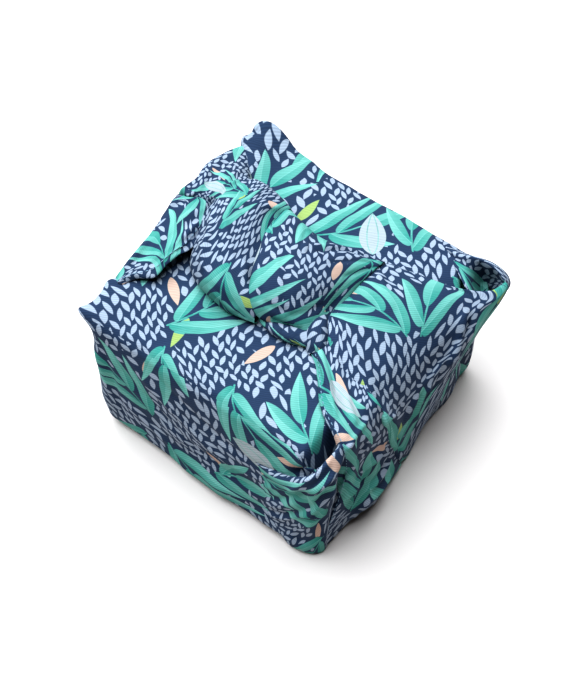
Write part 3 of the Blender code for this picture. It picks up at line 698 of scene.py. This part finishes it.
knotTail = {
    "name": "knotTail",
    "seed": 21,
    "steps": (70, 30),
    "printTurn": 45,
    "printPlace": (140, 420),
    "hems": (0.45, 3.5),
    "folds": [
        (1, -0.9, [(2.1, -24, 97.7), (4, -26.6, 92.1)]),
        (1, -0.9, [(12.5, -22.8, 98.8), (15, -26.9, 96.3)]),
        (1, -0.8, [(20.5, -21.1, 98.3), (22.2, -24.3, 94.2)]),
    ],
    "cage": [
        [(-9, -17, 93), (-7, -20.5, 93.8), (-5, -22.5, 93.6), (-3.5, -23.5, 93), (-3, -23, 92.4)],
        [(-3.9, -18.4, 95), (-1, -23.4, 96), (2.2, -26, 95.6), (4.6, -26.6, 94.2), (5, -25.9, 92.4)],
        [(5.6, -18.2, 97), (8.7, -23.8, 98.5), (12, -26.4, 97.8), (15, -26.9, 95.5), (15.3, -25.7, 92.6)],
        [(14, -15.1, 97), (17.3, -21.3, 98.4), (20.6, -23.8, 97.6), (23.6, -24.2, 95.2), (24, -23.2, 92.6)],
        [(21.2, -12.5, 96.5), (24, -17.9, 97.6), (27.3, -20.4, 96.8), (30, -21.4, 94.8),
         (30.2, -20.9, 92.6)],
        [(27.4, -10.2, 95.5), (29.5, -14.7, 96), (32.5, -17.8, 95.6), (35, -19.4, 94), (35.6, -19.3, 92.6)],
    ],
}

# The layers that lie under the top one: the first corner folded over the box, the gathered sides of
# the two tied corners, and the cloth at the bottom of the right ear.
underLayers = [
    {
        "name": "firstCorner",
        "seed": 23,
        "steps": (40, 26),
        "printTurn": 90,
        "printPlace": (-400, -300),
        "cage": [
            [(-69, -71, 3), (-35, -71, 3), (0, -71, 3), (35, -71, 3), (64, -69, 3)],
            [(-71, -71, 45), (-35, -71, 45), (0, -71, 45), (35, -71, 45), (66, -68, 45)],
            [(-72, -68, 80), (-35, -67, 80), (0, -67, 80), (35, -67, 80), (64, -62, 78)],
            [(-70, -50, 85), (-35, -50, 85.5), (0, -50, 85.5), (35, -50, 85.5), (64, -48, 84)],
            [(-62, -5, 87), (-32, -5, 87.4), (0, -5, 87.4), (32, -5, 87.4), (58, -5, 86)],
            [(-46, 52, 87), (-24, 54, 87.4), (0, 56, 87.4), (24, 54, 87.4), (44, 52, 86)],
        ],
    },
    {
        "name": "leftUnder",
        "seed": 25,
        "steps": (30, 18),
        "printPlace": (-500, 100),
        "cage": [
            [(-71, -66, 3), (-72.5, -66, 45), (-74, -66, 85)],
            [(-71, -20, 3), (-72, -20, 45), (-75, -20, 85)],
            [(-71, 25, 3), (-73, 25, 45), (-75, 25, 85)],
            [(-71, 68, 3), (-73, 70, 45), (-75, 72, 85)],
        ],
    },
    {
        "name": "rightUnder",
        "face": 1,
        "seed": 27,
        "steps": (30, 18),
        "printPlace": (-620, 100),
        "cage": [
            [(65, -62, 3), (66, -62, 40), (64, -60, 72)],
            [(65, -20, 3), (66, -20, 40), (63, -20, 74)],
            [(65, 25, 3), (66, 25, 40), (63, 25, 74)],
            [(65, 62, 3), (66, 60, 40), (64, 58, 72)],
        ],
    },
    {
        "name": "earFloor",
        "face": 1,
        "seed": 29,
        "steps": (16, 16),
        "printPlace": (-700, -200),
        "cage": [
            [(60, 52, 73), (60, 62, 73), (60, 70, 73), (60, 80, 73)],
            [(71, 52, 72), (71, 62, 71), (71, 73, 71), (71, 84, 72)],
            [(79, 50, 72), (79, 61, 70.5), (79, 72, 70.5), (79, 83, 72)],
            [(84, 46, 73), (85.6, 58, 74), (85.8, 67, 75), (82.6, 80, 73)],
        ],
    },
]


class Wire:
    # A value travelling through a node tree; sums on wires add the Math nodes that make them.
    def __init__(self, tree, socket):
        self.tree = tree
        self.socket = socket

    def calc(self, operation, *others):
        return nodeOut(self.tree, "ShaderNodeMath", (self, *others), operation=operation)

    def __add__(self, other):
        return self.calc("ADD", other)

    def __sub__(self, other):
        return self.calc("SUBTRACT", other)

    def __mul__(self, other):
        return self.calc("MULTIPLY", other)

    def __truediv__(self, other):
        return self.calc("DIVIDE", other)

    def above(self, other):
        return self.calc("GREATER_THAN", other)

    def kept(self, low, high):
        return self.calc("MAXIMUM", low).calc("MINIMUM", high)

    def beyond(self, low, high):
        # How far it lies outside the two.
        return self - self.kept(low, high)

    def size(self):
        return self.calc("ABSOLUTE")

    def flipped(self):
        # One minus it, which turns a mask round.
        return self * -1.0 + 1.0

    def pick(self, first, second):
        # The first where this mask is one, and the second where it is zero.
        return self * first + self.flipped() * second


def feed(socket, value):
    if isinstance(value, Wire):
        value.tree.links.new(value.socket, socket)
    else:
        socket.default_value = value


def nodeOut(tree, kind, values, out=0, **settings):
    # Adds a node, feeds its inputs in their order, or by name from a dictionary, and gives one output.
    node = tree.nodes.new(kind)
    for label, value in settings.items():
        setattr(node, label, value)
    if isinstance(values, dict):
        for label, value in values.items():
            feed(next(socket for socket in node.inputs if socket.enabled and socket.name == label), value)
    else:
        for socket, value in zip(node.inputs, values):
            feed(socket, value)
    return Wire(tree, [socket for socket in node.outputs if socket.enabled][out])


def newGroup(name, inputs, outputs, treeKind="ShaderNodeTree"):
    # Inputs are (name, kind) or (name, kind, value).
    tree = bpy.data.node_groups.new(name, treeKind)
    for label, kind, *value in inputs:
        socket = tree.interface.new_socket(label, in_out="INPUT", socket_type="NodeSocket" + kind)
        if value:
            socket.default_value = value[0]
    for label, kind in outputs:
        tree.interface.new_socket(label, in_out="OUTPUT", socket_type="NodeSocket" + kind)
    entry = tree.nodes.new("NodeGroupInput")
    leave = tree.nodes.new("NodeGroupOutput")
    return {each[0]: Wire(tree, entry.outputs[each[0]]) for each in inputs}, leave


def giveOut(leave, results):
    for label, wire in results.items():
        feed(leave.inputs[label], wire)
    return leave.id_data


def useGroup(tree, group, **values):
    node = tree.nodes.new("ShaderNodeGroup")
    node.node_tree = group
    for label, value in values.items():
        feed(node.inputs[label], value)
    return {socket.name: Wire(tree, socket) for socket in node.outputs}


def paired(*values):
    # A vector of two or three numbers.
    return nodeOut(values[0].tree, "ShaderNodeCombineXYZ", values)


def parted(vector, kind="ShaderNodeSeparateXYZ"):
    # The three numbers of a vector, or of a colour.
    node = nodeOut(vector.tree, kind, (vector,)).socket.node
    return [Wire(vector.tree, socket) for socket in node.outputs]


def randomAt(x, y, seed):
    # Three steady random numbers for a place.
    place = paired(x, y, seed)
    drawn = nodeOut(x.tree, "ShaderNodeTexWhiteNoise", {"Vector": place}, 1, noise_dimensions="3D")
    return parted(drawn, "ShaderNodeSeparateColor")


def noiseAt(vector, size, detail=2.0, out=0):
    values = {"Vector": vector, "Scale": 1 / size, "Detail": detail}
    return nodeOut(vector.tree, "ShaderNodeTexNoise", values, out, noise_dimensions="2D")


def mixed(share, first, second):
    values = {"Factor": share, "A": first, "B": second}
    return nodeOut(share.tree, "ShaderNodeMix", values, data_type="RGBA")


def turned(x, y, angle):
    cos = angle.calc("COSINE")
    sin = angle.calc("SINE")
    return x * cos + y * sin, y * cos - x * sin


def spanOf(x, y):
    return (x * x + y * y).calc("SQRT")


def linear(code):
    # A colour written as six hex digits.
    parts = [int(code[place:place + 2], 16) / 255 for place in (0, 2, 4)]
    return tuple(part / 12.92 if part < 0.04045 else ((part + 0.055) / 1.055) ** 2.4 for part in parts) + (1,)


# The print: sizes in millimetres on the flat cloth, leans in radians, and colours. A toss scatters a
# motif, and its share is how many of the places hold one.
printed = {
    "largeToss": {"Pitch": 80.0, "Stray": 3.0, "Seed": 2.0},
    "largeSprig": {
        "Stem": 26.0, "Pairs": 2.0, "Gap": 17.5, "Reach": 23.5, "Width": 4.9, "Bend": 0.006,
        "End Leaf": 38.0,
    },
    "smallToss": {"Pitch": 80.0, "Stray": 4.0, "Seed": 5.0},
    "smallShift": (40.0, 41.6, 0),
    "smallSprig": {
        "Stem": 14.0, "Pairs": 1.0, "Gap": 14.0, "Reach": 18.0, "Width": 4.6, "Bend": -0.007,
        "End Leaf": 30.0,
    },
    "accentToss": {"Pitch": 37.0, "Stray": 7.0, "Seed": 9.0},
    "accent": {"share": 0.42, "length": 20.0, "width": 3.0},
    "accentClear": 0.8,
    "limeFrom": 0.62,
    "budToss": {"Pitch": 92.0, "Stray": 11.0, "Seed": 13.0},
    "bud": {"share": 0.5, "length": 30.0, "width": 7.5},
    "petalFrom": 0.42,
    "petalGap": 0.35,
    "petalShade": 0.6,
    "leafEdge": 3.5,
    "mottle": 0.3,
    "mottleSize": 9.0,
    "ribEdge": 6.0,
    "ribHalf": 1.6,
    "ribMost": 0.4,
    "grainRow": 8.9,
    "grainStep": 7.1,
    "grainStray": 0.2,
    "grainLength": 7.2,
    "grainLengthSpread": 0.6,
    "grainWidth": 2.75,
    "grainWidthSpread": 0.3,
    "grainLean": 0.42,
    "grainTurnSpread": 0.5,
    "grainWander": 18.0,
    "grainWanderSize": 52.0,
    "grainEdge": 3.4,
    "grainClear": 2.0,
    "ground": "202e43",
    "grain": "828b98",
    "leafLight": "669a90",
    "leafDark": "30756b",
    "leafRib": "6fa199",
    "peach": "a68a7c",
    "lime": "7f9154",
    "pale": "899092",
    "weaveTurn": 45,  # In degrees.
}

# How the leaves of a sprig grow from its stem, and how light they are. Each pair is shorter and
# narrower than the one below it.
growth = {
    "bow": 400.0,  # The square of how far along the stem it crosses its middle line.
    "apart": 2.0,
    "lean": 1.25,
    "curl": 0.018,
    "slant": 0.62,
    "blunt": 1.5,
    "shorter": 2.0,
    "narrower": 0.35,
    "endBack": 3.0,
    "stemFrom": -4.0,
    "stemTo": 34.0,
    "stemHalf": 0.55,
    "lengthTone": 0.75,
    "halfTone": 0.35,
    "lessTone": 0.05,
}

fullTurn = 6.2832
farAway = 50.0  # Taken off the depth of a motif that is left out.


def leafWidth(share):
    # Half width of a pointed leaf, widest before its middle, for a share of its length.
    rise, fullness = 0.7, 3.16
    kept = share.kept(0.0, 1.0)
    return kept.calc("POWER", rise) * kept.flipped() * fullness


def makeTossGroup():
    # Turns a place on the cloth into a place round the nearest of many scattered centres.
    given, leave = newGroup(
        "tossed",
        [("Vector", "Vector"), ("Pitch", "Float", 60.0), ("Stray", "Float", 4.0), ("Seed", "Float", 1.0)],
        [("Along", "Float"), ("Across", "Float"), ("Choice", "Float"), ("Size", "Float")],
    )
    secondDraw = 7.3
    x, y, _ = parted(given["Vector"])
    pitch = given["Pitch"]
    stray = given["Stray"]
    row = (y / pitch).calc("FLOOR")
    shift = (row * 0.5).calc("FRACT") * pitch
    column = ((x + shift) / pitch).calc("FLOOR")
    first, second, third = randomAt(column, row, given["Seed"])
    choice, size, _ = randomAt(column, row, given["Seed"] + secondDraw)
    localX = x + shift - (column + 0.5) * pitch - (first - 0.5) * stray * 2.0
    localY = y - (row + 0.5) * pitch - (second - 0.5) * stray * 2.0
    along, across = turned(localX, localY, third * fullTurn)
    return giveOut(leave, {"Along": along, "Across": across, "Choice": choice, "Size": size})


def makeSprigGroup():
    # A bent stem with pairs of pointed leaves and one at its end. Depth is how far inside the
    # outline a place is, in millimetres, and Tone runs from the dark to the light side of a leaf.
    values = {"Along": 0.0, "Across": 0.0} | printed["largeSprig"]
    given, leave = newGroup(
        "leafSprig",
        [(label, "Float", value) for label, value in values.items()],
        [("Depth", "Float"), ("Tone", "Float"), ("Rib", "Float")],
    )
    endLeaf = given["End Leaf"]
    along = given["Along"] + given["Stem"]
    across = given["Across"] - given["Bend"] * along * along + given["Bend"] * growth["bow"]
    side = across.calc("SIGN")
    away = across.size()
    lean = along - side * growth["apart"] - away * growth["lean"] - away * away * growth["curl"]
    number = (lean / given["Gap"]).calc("ROUND").calc("MAXIMUM", 0.0)
    number = number.calc("MINIMUM", given["Pairs"] - 1.0)
    reach = given["Reach"] - number * growth["shorter"]
    over = (lean - number * given["Gap"]) * growth["slant"]
    share = away / reach
    past = share.beyond(0.0, 1.0) * reach * growth["blunt"]
    sideDepth = leafWidth(share) * (given["Width"] - number * growth["narrower"]) - spanOf(over, past)
    endShare = (along - (given["Pairs"] * given["Gap"] - growth["endBack"])) / endLeaf
    endPast = endShare.beyond(0.0, 1.0) * endLeaf
    endDepth = leafWidth(endShare) * given["Width"] - spanOf(across, endPast)
    stemPast = along.beyond(growth["stemFrom"], growth["stemTo"])
    stemDepth = spanOf(across, stemPast) * -1.0 + growth["stemHalf"]
    isEnd = endDepth.above(sideDepth)
    half = isEnd.pick(across, over * side * -1.0)
    tone = isEnd.pick(endShare, share) * growth["lengthTone"] + half.above(0.0) * growth["halfTone"]
    return giveOut(leave, {
        "Depth": sideDepth.calc("MAXIMUM", endDepth).calc("MAXIMUM", stemDepth),
        "Tone": tone - growth["lessTone"],
        "Rib": half.size(),
    })


def loneLeaf(spots, leaf):
    # Single pointed leaves, one round each spot: how deep inside one a place is, and how wide it is there.
    share = spots["Along"] / leaf["length"] + 0.5
    past = share.beyond(0.0, 1.0) * leaf["length"]
    wide = leafWidth(share) * leaf["width"]
    return wide - spanOf(spots["Across"], past) - spots["Size"].above(leaf["share"]) * farAway, wide


def makeLeafLayerGroup(toss, sprig):
    # All the leaves: two interleaved sets of sprigs, with small single leaves and pale buds among them.
    labels = ("Depth", "Tone", "Rib", "Accent", "Choice", "Pale")
    given, leave = newGroup("leafLayer", [("Vector", "Vector")], [(label, "Float") for label in labels])
    tree = leave.id_data
    vector = given["Vector"]
    moved = nodeOut(tree, "ShaderNodeVectorMath", (vector, printed["smallShift"]), operation="ADD")
    large = useGroup(tree, toss, Vector=vector, **printed["largeToss"])
    small = useGroup(tree, toss, Vector=moved, **printed["smallToss"])
    bits = useGroup(tree, toss, Vector=vector, **printed["accentToss"])
    buds = useGroup(tree, toss, Vector=vector, **printed["budToss"])
    first = useGroup(tree, sprig, Along=large["Along"], Across=large["Across"], **printed["largeSprig"])
    second = useGroup(tree, sprig, Along=small["Along"], Across=small["Across"], **printed["smallSprig"])
    bitDepth, _ = loneLeaf(bits, printed["accent"])
    budDepth, budWide = loneLeaf(buds, printed["bud"])
    petal = (buds["Across"].size() - budWide * printed["petalFrom"]).size().above(printed["petalGap"])
    isSecond = second["Depth"].above(0.0)
    leafDepth = first["Depth"].calc("MAXIMUM", second["Depth"])
    return giveOut(leave, {
        "Depth": leafDepth.calc("MAXIMUM", bitDepth).calc("MAXIMUM", budDepth),
        "Tone": isSecond.pick(second["Tone"], first["Tone"]),
        "Rib": isSecond.pick(second["Rib"], first["Rib"]),
        "Accent": bitDepth.above(0.0) * leafDepth.above(-printed["accentClear"]).flipped(),
        "Pale": budDepth.above(0.0) * (petal * printed["petalShade"] + (1 - printed["petalShade"])),
        "Choice": bits["Choice"],
    })


# The first row is in millimetres. A slub is a thicker length of thread, drawn out along it. Height and
# shade say how much each of them counts, out of 1.
weaving = {
    "rib": 1.1, "thread": 0.55, "wobble": 0.5, "wobbleSize": 4.0, "slubSize": 0.9,
    "slubStretch": 0.06, "ribHeight": 0.7,
    "ribShade": 0.3, "threadShade": 0.05, "slubShade": 0.14, "leastShade": 0.74,
}


def makeWeaveGroup():
    # Fine ribs one way and finer threads the other, with uneven threads.
    given, leave = newGroup(
        "clothWeave",
        [("Vector", "Vector"), ("Rib", "Float", weaving["rib"]), ("Thread", "Float", weaving["thread"])],
        [("Height", "Float"), ("Shade", "Float")],
    )
    x, y, _ = parted(given["Vector"])
    wobble = noiseAt(given["Vector"], weaving["wobbleSize"]) * weaving["wobble"]
    rib, thread = [
        ((way + wobble) / given[label] * fullTurn).calc("SINE") * 0.5 + 0.5
        for way, label in ((x, "Rib"), (y, "Thread"))
    ]
    slub = noiseAt(paired(x, y * weaving["slubStretch"]), weaving["slubSize"])
    shade = rib * weaving["ribShade"] + thread * weaving["threadShade"] + slub * weaving["slubShade"]
    return giveOut(leave, {
        "Height": rib * weaving["ribHeight"] + thread * (1 - weaving["ribHeight"]),
        "Shade": shade + weaving["leastShade"],
    })


def grainLayer(tree, vector, leaves):
    # Small pointed grains in rows that wander, each left out whole where a leaf is near.
    wander = noiseAt(vector, printed["grainWanderSize"], 1.0, 1)
    sway = (printed["grainWander"], printed["grainWander"], 0)
    bent = nodeOut(tree, "ShaderNodeVectorMath", (wander, sway, vector), operation="MULTIPLY_ADD")
    bentX, bentY, _ = parted(bent)
    row = bentX / printed["grainRow"]
    step = bentY / printed["grainStep"]
    vectorX, vectorY, _ = parted(vector)
    lattice = paired(row + step, row - step)
    grains = []
    for feature in ("F1", "F2"):
        # The nearest grain and the next one, because a leaning grain reaches past its own cell.
        cells = {"Vector": lattice, "Scale": 1, "Randomness": printed["grainStray"]}
        middle = nodeOut(tree, "ShaderNodeTexVoronoi", cells, 2, voronoi_dimensions="2D", feature=feature)
        cellA, cellB, _ = parted(middle)
        localX = bentX - (cellA + cellB) * (printed["grainRow"] / 2)
        localY = bentY - (cellA - cellB) * (printed["grainStep"] / 2)
        finely, seed = 9.0, 4.0
        first, second, third = randomAt(*[(cell * finely).calc("ROUND") for cell in (cellA, cellB)], seed)
        # Each row leans the other way from the row beside it.
        quarter = 0.25
        leaning = ((cellA.calc("FLOOR") + cellB.calc("FLOOR")) * 0.5).calc("FRACT") - quarter
        turn = leaning * (printed["grainLean"] / quarter) + (first - 0.5) * printed["grainTurnSpread"]
        along, across = turned(localX, localY, turn)
        halfLength, halfWidth = [
            draw * printed[name + "Spread"] + (printed[name] - printed[name + "Spread"]) / 2
            for draw, name in ((second, "grainLength"), (third, "grainWidth"))
        ]
        bulge = (along / halfLength).calc("POWER", 2.0).flipped()
        grain = ((bulge * halfWidth - across.size()) * printed["grainEdge"] + 0.5).kept(0.0, 1.0)
        there = useGroup(tree, leaves, Vector=paired(vectorX - localX, vectorY - localY))
        grains.append(grain * there["Depth"].above(-printed["grainClear"]).flipped())
    return grains[0].calc("MAXIMUM", grains[1])


cotton = {"Roughness": 0.8, "Specular IOR Level": 0.08, "Sheen Weight": 0.03, "Sheen Roughness": 0.4}
weaveBump = {"Strength": 0.3, "Distance": 0.0002}


def clothFinish():
    cloth = bpy.data.materials.new("printedCotton")
    cloth.use_nodes = True
    tree = cloth.node_tree
    place = nodeOut(tree, "ShaderNodeUVMap", (), uv_map="cloth")
    turn = (0, 0, math.radians(printed["weaveTurn"]))
    laid = {"Vector": place, "Rotation": turn, "Scale": (1 / mm, 1 / mm, 1)}
    vector = nodeOut(tree, "ShaderNodeMapping", laid)
    leaves = makeLeafLayerGroup(makeTossGroup(), makeSprigGroup())
    here = useGroup(tree, leaves, Vector=vector)
    colour = {
        name: linear(printed[name])
        for name in ("ground", "grain", "leafDark", "leafLight", "leafRib", "peach", "lime", "pale")
    }
    base = mixed(grainLayer(tree, vector, leaves), colour["ground"], colour["grain"])
    mottle = noiseAt(vector, printed["mottleSize"]) * printed["mottle"] - printed["mottle"] / 2
    leaf = mixed((here["Tone"] + mottle).kept(0.0, 1.0), colour["leafDark"], colour["leafLight"])
    rib = (here["Rib"] * -printed["ribEdge"] + printed["ribHalf"]).kept(0.0, printed["ribMost"])
    leaf = mixed(rib, leaf, colour["leafRib"])
    bit = mixed(here["Choice"].above(printed["limeFrom"]), colour["peach"], colour["lime"])
    leaf = mixed(here["Accent"], leaf, bit)
    leaf = mixed(here["Pale"], leaf, colour["pale"])
    base = mixed((here["Depth"] * printed["leafEdge"] + 0.5).kept(0.0, 1.0), base, leaf)
    thread = nodeOut(tree, "ShaderNodeAttribute", (), 2, attribute_name="thread")
    base = mixed(thread, base, linear(stitching["colour"]))
    weave = useGroup(tree, makeWeaveGroup(), Vector=vector)
    surface = tree.nodes["Principled BSDF"].inputs
    shaded = {"Vector": base, "Scale": weave["Shade"]}
    feed(surface["Base Color"], nodeOut(tree, "ShaderNodeVectorMath", shaded, operation="SCALE"))
    feed(surface["Normal"], nodeOut(tree, "ShaderNodeBump", weaveBump | {"Height": weave["Height"]}))
    for label, value in cotton.items():
        surface[label].default_value = value
    return cloth


# Sizes in millimetres; stray is how far a stitch may turn, in degrees.
stitching = {
    "pitch": 3.3,
    "length": 2.3,
    "thickness": 0.55,
    "lift": 0.08,
    "stray": 5.0,
    "seed": 5,
    "colour": "6f8797",
}


def makeStitchTree():
    # Stitches one after another along the lines it is given, each lying flat on the cloth.
    inputs = [("Lines", "Geometry")]
    inputs += [(label, "Float") for label in ("Pitch", "Length", "Thickness", "Stray")]
    inputs += [("Seed", "Int"), ("Finish", "Material")]
    given, leave = newGroup("hemStitches", inputs, [("Stitches", "Geometry")], "GeometryNodeTree")

    def add(kind, values, **settings):
        return nodeOut(leave.id_data, kind, values, **settings)

    curve = add("GeometryNodeMeshToCurve", {"Mesh": given["Lines"]})
    spaced = add("GeometryNodeResampleCurve", {"Curve": curve, "Length": given["Pitch"]}, mode="LENGTH")
    # One stitch, rounded, lying along x.
    ball = add("GeometryNodeMeshUVSphere", {"Segments": 6, "Rings": 4, "Radius": 0.5})
    sizes = paired(given["Length"], given["Thickness"], given["Thickness"])
    stitch = add("GeometryNodeTransform", {"Geometry": ball, "Scale": sizes})
    # Turned along its line, then upright from the cloth, then a little astray either way.
    tangent = add("GeometryNodeInputTangent", ())
    along = add("FunctionNodeAlignRotationToVector", {"Vector": tangent}, axis="X")
    up = add("GeometryNodeInputNamedAttribute", {"Name": "up"}, data_type="FLOAT_VECTOR")
    facing = {"Rotation": along, "Vector": up}
    upright = add("FunctionNodeAlignRotationToVector", facing, axis="Z", pivot_axis="X")
    limits = {"Min": given["Stray"] * -1.0, "Max": given["Stray"], "Seed": given["Seed"]}
    stray = add("FunctionNodeRandomValue", limits, data_type="FLOAT")
    astray = {"Rotation": upright, "Rotate By": add("ShaderNodeCombineXYZ", {"Z": stray})}
    loose = add("FunctionNodeRotateRotation", astray, rotation_space="LOCAL")
    laid = add("GeometryNodeInstanceOnPoints", {"Points": spaced, "Instance": stitch, "Rotation": loose})
    plain = add("GeometryNodeRealizeInstances", {"Geometry": laid})
    finished = add("GeometryNodeSetMaterial", {"Geometry": plain, "Material": given["Finish"]})
    return giveOut(leave, {"Stitches": finished})


def makeStitches(lines, finish):
    points = []
    ways = []
    edges = []
    for line, normals in lines:
        edges += [(len(points) + step, len(points) + step + 1) for step in range(len(line) - 1)]
        points += list((line + normals * stitching["lift"] + np.array(frameShift)) * mm)
        ways += list(normals)
    mesh = bpy.data.meshes.new("hemLines")
    mesh.from_pydata(points, edges, [])
    up = mesh.attributes.new("up", "FLOAT_VECTOR", "POINT")
    up.data.foreach_set("vector", np.array(ways, np.float32).ravel())
    guide = placed("hemLines", mesh)
    tree = makeStitchTree()
    sewn = guide.modifiers.new("sewn", "NODES")
    sewn.node_group = tree
    values = {label: stitching[label.lower()] * mm for label in ("Pitch", "Length", "Thickness")}
    values |= {"Stray": math.radians(stitching["stray"]), "Seed": stitching["seed"], "Finish": finish}
    for socket in tree.interface.items_tree:
        if socket.in_out == "INPUT" and socket.name in values:
            sewn[socket.identifier] = values[socket.name]
    bpy.context.view_layer.update()
    graph = bpy.context.evaluated_depsgraph_get()
    plain = bpy.data.meshes.new_from_object(guide.evaluated_get(graph), depsgraph=graph)
    bpy.data.objects.remove(guide, do_unlink=True)
    plain.materials.clear()
    for layer in list(plain.uv_layers):
        plain.uv_layers.remove(layer)
    plain.uv_layers.new(name="cloth")
    return placed("stitches", plain)


def joinAll(name, parts):
    build = bmesh.new()
    for part in parts:
        build.from_mesh(part.data)
    mesh = bpy.data.meshes.new(name)
    build.to_mesh(mesh)
    build.free()
    for part in parts:
        bpy.data.objects.remove(part, do_unlink=True)
    return placed(name, mesh)


print("cloth: folding the body")
parts = [makeBody()]
print("cloth: laying the wings and the gusset")
parts += [makeSheet(sheet) for sheet in (rightWing, frontGusset, frontCorner, leftWing, rightEar)]
print("cloth: tying the knot")
parts += [makeSheet(sheet) for sheet in (leftLobe, rightLobe, knotStrip, knotTail)]
print("cloth: folding the layers underneath")
parts += [makeSheet(sheet) for sheet in underLayers]
finish = clothFinish()
print("cloth: sewing the hems")
parts.append(makeStitches(hemLines, finish))
sewnPoints = len(parts[-1].data.vertices)
wrap = joinAll("wrapCloth", parts)
wrap.data.materials.append(finish)
ofThread = np.zeros(len(wrap.data.vertices), np.float32)
ofThread[-sewnPoints:] = 1
wrap.data.attributes.new("thread", "FLOAT", "POINT").data.foreach_set("value", ofThread)
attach(wrap, "root")
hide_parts("wrap_cloth")
print("cloth: triangles", sum(len(face.vertices) - 2 for face in wrap.data.polygons))

# Angles in degrees, places in metres, and the lens in millimetres.
view = {
    "azimuth": 38.1,
    "elevation": 54.3,
    "roll": 0.76,
    "distance": 0.9005,
    "target": (0.0032, -0.0038, 0.046),
    "lens": 83.5,
    "nearest": 0.01,
}
window = {"towards": (-0.45, 0.08, 1.2), "softness": 76, "power": 10.0, "colour": (0.82, 0.92, 1.0)}
room = {"colour": (1, 0.95, 0.86, 1), "strength": 0.05}
plainFloor = {"colour": (0.529, 0.465, 0.431, 1), "roughness": 0.9, "half": 8.0, "height": -0.0002}


def placeCamera():
    azimuth, elevation, roll = [math.radians(view[name]) for name in ("azimuth", "elevation", "roll")]
    back = Vector((
        math.sin(azimuth) * math.cos(elevation),
        -math.cos(azimuth) * math.cos(elevation),
        math.sin(elevation),
    ))
    right = Vector((math.cos(azimuth), math.sin(azimuth), 0))
    up = back.cross(right)
    rolledRight = right * math.cos(roll) - up * math.sin(roll)
    rolledUp = right * math.sin(roll) + up * math.cos(roll)
    lens = bpy.data.cameras.new("camera")
    lens.lens = view["lens"]
    lens.clip_start = view["nearest"]
    camera = placed("camera", lens)
    stance = Matrix((rolledRight, rolledUp, back)).transposed().to_4x4()
    stance.translation = Vector(view["target"]) + back * view["distance"]
    camera.matrix_world = stance
    bpy.context.scene.camera = camera


def placeLights():
    lamp = bpy.data.lights.new("windowLight", "SUN")
    lamp.angle = math.radians(window["softness"])
    lamp.energy = window["power"]
    lamp.color = window["colour"]
    placed("windowLight", lamp).rotation_euler = Vector(window["towards"]).to_track_quat("Z", "Y").to_euler()
    world = bpy.data.worlds.new("studio")
    world.use_nodes = True
    backdrop = world.node_tree.nodes["Background"].inputs
    backdrop["Color"].default_value = room["colour"]
    backdrop["Strength"].default_value = room["strength"]
    bpy.context.scene.world = world
    # Plain colours, with a little more contrast.
    bpy.context.scene.view_settings.view_transform = "Standard"
    bpy.context.scene.view_settings.look = "Medium High Contrast"


def makeFloor():
    build = bmesh.new()
    bmesh.ops.create_grid(build, x_segments=1, y_segments=1, size=plainFloor["half"])
    mesh = bpy.data.meshes.new("floor")
    build.to_mesh(mesh)
    build.free()
    floor = placed("floor", mesh)
    paper = bpy.data.materials.new("paleFloor")
    paper.use_nodes = True
    surface = paper.node_tree.nodes["Principled BSDF"].inputs
    surface["Base Color"].default_value = plainFloor["colour"]
    surface["Roughness"].default_value = plainFloor["roughness"]
    floor.data.materials.append(paper)
    floor.location.z = plainFloor["height"]


print("stage: floor, lights and camera")
makeFloor()
placeCamera()
placeLights()
